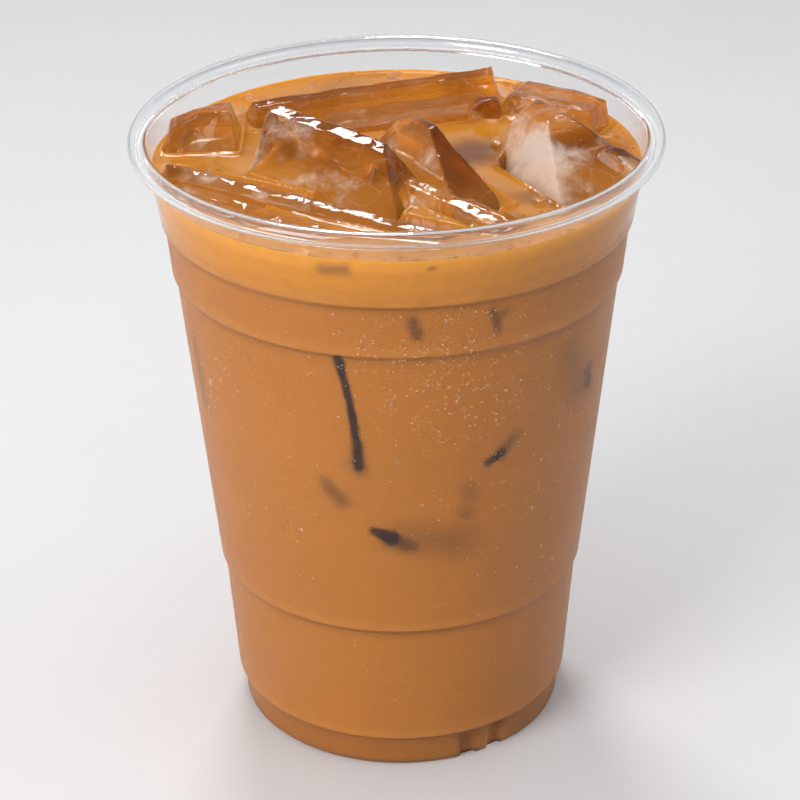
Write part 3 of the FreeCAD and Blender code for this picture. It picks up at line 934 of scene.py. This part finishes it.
# Larger drops: angle in degrees, height, radius.
DEW_DROPS = [
    (-120.5, 87.5, 0.42), (-105.0, 70.8, 0.50), (-90.5, 71.5, 0.55), (-134.0, 60.5, 0.75),
    (-119.0, 54.0, 0.42), (-131.0, 56.0, 0.40), (-84.0, 62.0, 0.35), (-93.0, 38.5, 0.50),
    (-75.0, 35.5, 0.42), (-98.0, 15.0, 0.45), (-150.0, 78.0, 0.55), (-154.0, 71.0, 0.60),
    (-62.0, 84.0, 0.38), (-50.0, 56.0, 0.42), (-36.0, 66.0, 0.38), (30.0, 72.0, 0.55),
    (64.0, 55.0, 0.60), (95.0, 84.0, 0.50), (132.0, 46.0, 0.62), (170.0, 70.0, 0.48),
]

LOOSE_DEW = 520
BUBBLES = 150

# Small bits of ice that lie on the drink or on larger ice: place and length in millimetres.
ICE_BITS = [
    ((-0.4, 41.0, 113.9), 3.8), ((25.3, -19.2, 113.6), 2.8), ((14.9, -10.8, 114.0), 2.2),
    ((24.1, 35.0, 113.8), 3.4), ((31.0, 33.0, 113.7), 2.6), ((7.4, -27.5, 113.9), 2.0),
    ((-40.0, 3.7, 113.8), 2.2), ((-28.3, 31.0, 113.7), 3.0), ((-33.9, -5.9, 113.8), 2.6),
    ((12.8, -21.4, 114.2), 1.8), ((38.1, 14.5, 113.7), 2.8), ((-16.0, 36.5, 113.7), 2.2),
    ((42.0, 3.0, 113.6), 2.0), ((18.5, 8.0, 113.6), 2.4),
]


def bubble_material(color):
    """The thin wet skin of a bubble, clearer in its middle than at its edge."""
    material, graph = new_material("bubble_skin")
    facing = graph.add("ShaderNodeLayerWeight", None, {"Blend": 0.35}, "Facing")
    skin = graph.surface({
        "Base Color": color, "Roughness": 0.04, "IOR": 1.34,
        "Normal": graph.bump(graph.noise(graph.place(), 900.0, 1.0), 0.00003)})
    clear = graph.add("ShaderNodeBsdfTransparent", None, {"Color": (0.95, 0.86, 0.74)})
    graph.finish(graph.blend(0.18 + 0.7 * facing * facing, clear, skin))
    return material


def ball(subdivisions, lowest=-2.0):
    """Points and faces of a round shape of radius 1, open below a height."""
    shape = bmesh.new()
    bmesh.ops.create_icosphere(shape, subdivisions=subdivisions, radius=1.0)
    points = [v.co.normalized() for v in shape.verts]
    faces = [[v.index for v in face.verts] for face in shape.faces]
    faces = [face for face in faces if all(points[i].z >= lowest for i in face)]
    shape.free()
    return points, faces


def gathered(name, shapes):
    """Make one mesh of several shapes, each given by its points and faces."""
    points, faces = [], []
    for shape_points, shape_faces in shapes:
        faces += [[len(points) + i for i in face] for face in shape_faces]
        points += shape_points
    mesh = bpy.data.meshes.new(name)
    mesh.from_pydata(points, [], faces)
    mesh.validate()
    mesh.shade_smooth()
    return mesh


class ICEDCOFFEE_OT_bubbles(bpy.types.Operator):
    """Float small bubbles on the drink, most of them at the wall"""
    bl_idname = "iced_coffee.bubbles"
    bl_label = "Bubbles"

    def execute(self, context):
        rng = random.Random(7)
        ice = all_ice()
        edge = side_radius(LEVEL, context.scene.iced_coffee_cup.wall / MM)
        points, faces = ball(3, -0.35)
        shapes = []
        while len(shapes) < BUBBLES:
            size = rng.uniform(0.22, 0.75) * rng.uniform(0.5, 1.0)
            bend = rng.gauss(-0.6, 1.1)
            radius = edge - size - abs(rng.gauss(0.1, 1.3)) - (rng.random() < 0.15) * 9.0
            middle = Vector((math.cos(bend) * radius, math.sin(bend) * radius, LEVEL)) * MM
            if ice.find_nearest(middle)[3] < size * 1.3 * MM:
                continue
            squash = Vector((size, size, size * rng.uniform(0.6, 0.9))) * MM
            shapes.append(([middle + point * squash for point in points], faces))
        color = context.scene.iced_coffee_drink.band_color
        add_piece("bubbles", gathered("bubbles", shapes), bubble_material(color), "coffee")
        return {"FINISHED"}


def sunk_material(color):
    """Ice behind a skin of milky coffee: dark, with a brown bloom."""
    material, graph = new_material("sunk_ice")
    place = graph.place()
    bloom = graph.step(graph.noise(place, 700.0, 3.0), 0.42, 0.8)
    shown = graph.mix(bloom * 0.4, color, (0.16, 0.055, 0.02))
    graph.finish(graph.surface({
        "Base Color": shown, "Roughness": 0.35, "Specular IOR Level": 0.2,
        "Normal": graph.bump(graph.noise(place, 1500.0, 2.0), 0.00005)}))
    return material


class ICEDCOFFEE_OT_sunk(bpy.types.Operator):
    """Press the sunk pieces of ice against the inside of the wall"""
    bl_idname = "iced_coffee.sunk"
    bl_label = "Sunk ice"

    def execute(self, context):
        drink = context.scene.iced_coffee_drink
        inset = (context.scene.iced_coffee_cup.wall - drink.reach) / MM
        thick, proud = 1.2, 0.1
        shown_share = math.sqrt(1 - (1 - proud / thick) ** 2)
        ways, faces = ball(4)
        shapes = []
        for start, end, size, end_size, _, dark in SUNK_RUNS:
            if dark < 0.9:
                continue
            a = on_side(*start, side_radius(start[1], inset))
            b = on_side(*end, side_radius(end[1], inset))
            middle = (a + b) / 2
            along = (b - a).normalized()
            out = Vector((middle.x, middle.y, 0.0)).normalized()
            out = (out - along * out.dot(along)).normalized()
            across = out.cross(along)
            half = (b - a).length / 2 / shown_share
            points = []
            for way in ways:
                wide = size + (end_size - size) * (0.5 + 0.5 * way.x)
                ragged = 1 + 0.16 * noise.noise(way * 2.3 + middle / MM)
                offset = (along * way.x * half + across * way.y * wide * 0.6 * MM / shown_share
                          + out * (way.z * thick + proud - thick) * MM)
                points.append(middle + offset * ragged if way.z < 0.5 else
                              middle + offset - (along * way.x * half) * (1 - ragged))
            shapes.append((points, faces))
        add_piece("sunk_ice", gathered("sunk_ice", shapes), sunk_material(drink.sunk_color), "ice")
        return {"FINISHED"}


def water_material():
    """Clear drops of water, with lighter cream patches by noise as a painted highlight."""
    material, graph = new_material("dew_water")
    place = graph.place()
    water = graph.surface({
        "Base Color": (1.0, 0.99, 0.97), "Roughness": 0.05, "IOR": 1.33, "Transmission Weight": 1.0,
        "Normal": graph.bump(graph.noise(place, 800.0, 1.0), 0.00003)})
    # Painted highlight: lighter cream patches that stand in for the drops' glints.
    milky = graph.surface({
        "Base Color": (0.95, 0.80, 0.62), "Roughness": 0.15})
    shader = graph.blend(0.3 * graph.step(graph.noise(place, 300.0, 2.0), 0.4, 0.6), water, milky)
    graph.finish(graph.let_light_through(shader, (0.97, 0.97, 0.97)))
    return material


class ICEDCOFFEE_OT_dew(bpy.types.Operator):
    """Bead the outside of the wall with fine dew and a few larger drops"""
    bl_idname = "iced_coffee.dew"
    bl_label = "Dew"

    def execute(self, context):
        rng = random.Random(11)
        points, faces = ball(2, -0.45)
        beads = []
        for middle_angle, middle_height, spread, rise, count, least, most in DEW_PATCHES:
            for _ in range(count):
                beads.append((rng.gauss(middle_angle, spread), rng.gauss(middle_height, rise),
                              rng.uniform(least, most)))
        for _ in range(LOOSE_DEW):
            beads.append((rng.uniform(-180, 180), rng.uniform(9, 104), rng.uniform(0.10, 0.26)))
        beads += DEW_DROPS
        shapes = []
        for angle, height, size in beads:
            if not 8.5 < height < 103.0:
                continue
            middle = on_side(angle, height, side_radius(height, 0.02))
            out = Vector((middle.x, middle.y, 0.0)).normalized()
            across = Vector((0, 0, 1)).cross(out)
            up = out.cross(across)
            long = rng.uniform(1.0, 1.5) if size > 0.3 else 1.0
            flat = 0.35 if size > 0.3 else 0.6
            shapes.append(([middle + (across * p.x + up * p.y * long + out * p.z * flat) * size * MM
                            for p in points], faces))
        add_piece("dew", gathered("dew", shapes), water_material(), "cup")
        return {"FINISHED"}


class ICEDCOFFEE_OT_bits(bpy.types.Operator):
    """Scatter the small bits of ice"""
    bl_idname = "iced_coffee.bits"
    bl_label = "Bits of ice"

    def execute(self, context):
        rng = random.Random(3)
        ways, faces = ball(4)
        shapes = []
        for middle, length in ICE_BITS:
            turn = Matrix.Rotation(rng.uniform(0, math.pi), 3, "Z")
            size = Matrix.Diagonal((length / 2, length / 2 * rng.uniform(0.5, 0.8),
                                    length / 2 * rng.uniform(0.35, 0.55)))
            cuts = [Vector((rng.gauss(0, 1), rng.gauss(0, 1), rng.gauss(0, 1))).normalized()
                    for _ in range(9)]
            points = []
            for way in ways:
                flat = min(0.72 / max(way.dot(cut), 0.01) for cut in cuts)
                reach = min(1.0, flat) * (1 + 0.05 * noise.noise(way * 3 + cuts[0]))
                points.append((turn @ size @ way * reach + Vector(middle)) * MM)
            shapes.append((points, faces))
        add_piece("ice_bits", gathered("ice_bits", shapes), bpy.data.materials["clear_ice"], "ice")
        return {"FINISHED"}


# ---------------------------------------------------------------- stage

CAMERA_DISTANCE = 0.516
CAMERA_DIP = math.radians(28.22)
CAMERA_LOOK = Vector((0.0, 0.0, 0.060))
CAMERA_ROLL = math.radians(-0.55)
CAMERA_LENS = 120.465
CAMERA_SHIFT = (0.00094, 0.01914)
FLOOR_SIZE = 3.0


def add_lamp(name, power, size, place, look):
    """Add a large soft lamp that points at a place."""
    lamp = bpy.data.lights.new(name, "AREA")
    lamp.shape = "RECTANGLE"
    lamp.size, lamp.size_y = size
    lamp.energy = power
    holder = bpy.data.objects.new(name, lamp)
    holder.location = place
    holder.rotation_mode = "QUATERNION"
    holder.rotation_quaternion = (Vector(look) - Vector(place)).to_track_quat("-Z", "Y")
    bpy.context.scene.collection.objects.link(holder)
    return holder


class ICEDCOFFEE_OT_stage(bpy.types.Operator):
    """Set up the pale floor, the soft lights and the camera"""
    bl_idname = "iced_coffee.stage"
    bl_label = "Stage"

    def execute(self, context):
        scene = context.scene
        stage = scene.iced_coffee_stage
        mesh = bpy.data.meshes.new("floor")
        corners = [(-1, -1), (1, -1), (1, 1), (-1, 1)]
        mesh.from_pydata([(x * FLOOR_SIZE, y * FLOOR_SIZE, 0) for x, y in corners], [],
                         [(0, 1, 2, 3)])
        floor = bpy.data.objects.new("floor", mesh)
        scene.collection.objects.link(floor)
        material, graph = new_material("pale_floor")
        place = graph.place()
        cloudy = graph.noise(place, 7.0, 4.0)
        weave = graph.noise(graph.vector("MULTIPLY", place, (1.0, 4.0, 1.0)), 110.0, 3.0)
        color = graph.mix(graph.step(cloudy, 0.3, 0.7), stage.floor_color, (0.79, 0.785, 0.79))
        color = graph.mix(graph.step(weave, 0.2, 0.8) * 0.1, color, (0.72, 0.71, 0.70))
        # Painted shade: the floor gets darker towards the back.
        far = graph.step(graph.part(place, 1), 0.0, 0.6)
        color = graph.mix(far * 0.5, color, (0.52, 0.52, 0.52))
        graph.finish(graph.surface({
            "Base Color": color, "Roughness": 0.7, "Specular IOR Level": 0.2}))
        mesh.materials.append(material)

        scene.world = bpy.data.worlds.new("studio")
        graph = Graph(scene.world)
        seen = graph.ray("Is Camera Ray")
        for question in ("Is Glossy Ray", "Is Transmission Ray"):
            seen = seen.most(graph.ray(question))
        rise = graph.part(graph.add("ShaderNodeTexCoord", output="Generated"), 2)
        sky = graph.mix(graph.step(rise, 0.35, 0.9), (0.24, 0.26, 0.30), (1.0, 1.0, 1.0))
        lit = graph.add("ShaderNodeBackground", None, {"Color": sky, "Strength": stage.sky})
        backdrop = graph.mix(graph.step(rise, 0.25, 0.75), (0.80, 0.80, 0.81), (0.30, 0.30, 0.31))
        shown = graph.add("ShaderNodeBackground", None, {"Color": backdrop, "Strength": 1.0})
        graph.finish(graph.blend(seen, lit, shown), "ShaderNodeOutputWorld")

        add_lamp("key", stage.key_power, (0.45, 0.6), (-0.55, -0.58, 0.52), (0, 0, 0.07))
        add_lamp("top", stage.top_power, (0.18, 0.10), (-0.07, 0.40, 0.66), (0, 0, 0.11))
        add_lamp("fill", stage.fill_power, (0.5, 0.5), (0.72, -0.25, 0.30), (0, 0, 0.06))

        data = bpy.data.cameras.new("camera")
        data.sensor_width = 36.0
        data.lens = CAMERA_LENS
        data.shift_x, data.shift_y = CAMERA_SHIFT
        data.clip_start, data.clip_end = 0.01, 20.0
        camera = bpy.data.objects.new("camera", data)
        back = Vector((0.0, -math.cos(CAMERA_DIP), math.sin(CAMERA_DIP)))
        camera.location = CAMERA_LOOK + back * CAMERA_DISTANCE
        camera.rotation_mode = "QUATERNION"
        roll = Matrix.Rotation(CAMERA_ROLL, 4, "Z").to_quaternion()
        camera.rotation_quaternion = (-back).to_track_quat("-Z", "Y") @ roll
        scene.collection.objects.link(camera)
        scene.camera = camera
        scene.view_settings.view_transform = "Standard"
        return {"FINISHED"}


class ICEDCOFFEE_PT_panel(bpy.types.Panel):
    """Sizes, colours and steps of the iced coffee"""
    bl_idname = "ICEDCOFFEE_PT_panel"
    bl_label = "Iced Coffee"
    bl_space_type = "VIEW_3D"
    bl_region_type = "UI"
    bl_category = "Iced Coffee"

    def draw(self, context):
        layout = self.layout
        for name, group, operators in STEPS:
            box = layout.box()
            settings = getattr(context.scene, name)
            for prop in group.__annotations__:
                box.prop(settings, prop)
            for operator in operators:
                box.operator("iced_coffee." + operator)


# Each group of settings with the steps that it drives.
STEPS = [
    ("iced_coffee_stage", IcedCoffeeStage, ["stage"]),
    ("iced_coffee_cup", IcedCoffeeCup, ["cup", "dew"]),
    ("iced_coffee_drink", IcedCoffeeDrink, ["drink", "sunk", "bubbles"]),
    ("iced_coffee_ice", IcedCoffeeIce, ["ice", "bits"]),
]
CLASSES = [IcedCoffeeCup, IcedCoffeeDrink, IcedCoffeeIce, IcedCoffeeStage, ICEDCOFFEE_OT_cup,
           ICEDCOFFEE_OT_drink, ICEDCOFFEE_OT_ice, ICEDCOFFEE_OT_bits, ICEDCOFFEE_OT_sunk,
           ICEDCOFFEE_OT_dew, ICEDCOFFEE_OT_bubbles, ICEDCOFFEE_OT_stage, ICEDCOFFEE_PT_panel]


def register():
    for item in CLASSES:
        bpy.utils.register_class(item)
    for name, group, _ in STEPS:
        setattr(bpy.types.Scene, name, PointerProperty(type=group))


def unregister():
    for name, _, _ in STEPS:
        delattr(bpy.types.Scene, name)
    for item in reversed(CLASSES):
        bpy.utils.unregister_class(item)


def main():
    register()
    bpy.ops.iced_coffee.stage()
    bpy.ops.iced_coffee.cup()
    bpy.ops.iced_coffee.drink()
    bpy.ops.iced_coffee.ice()
    bpy.ops.iced_coffee.bits()
    bpy.ops.iced_coffee.sunk()
    bpy.ops.iced_coffee.dew()
    bpy.ops.iced_coffee.bubbles()


if __name__ == "__main__":
    main()
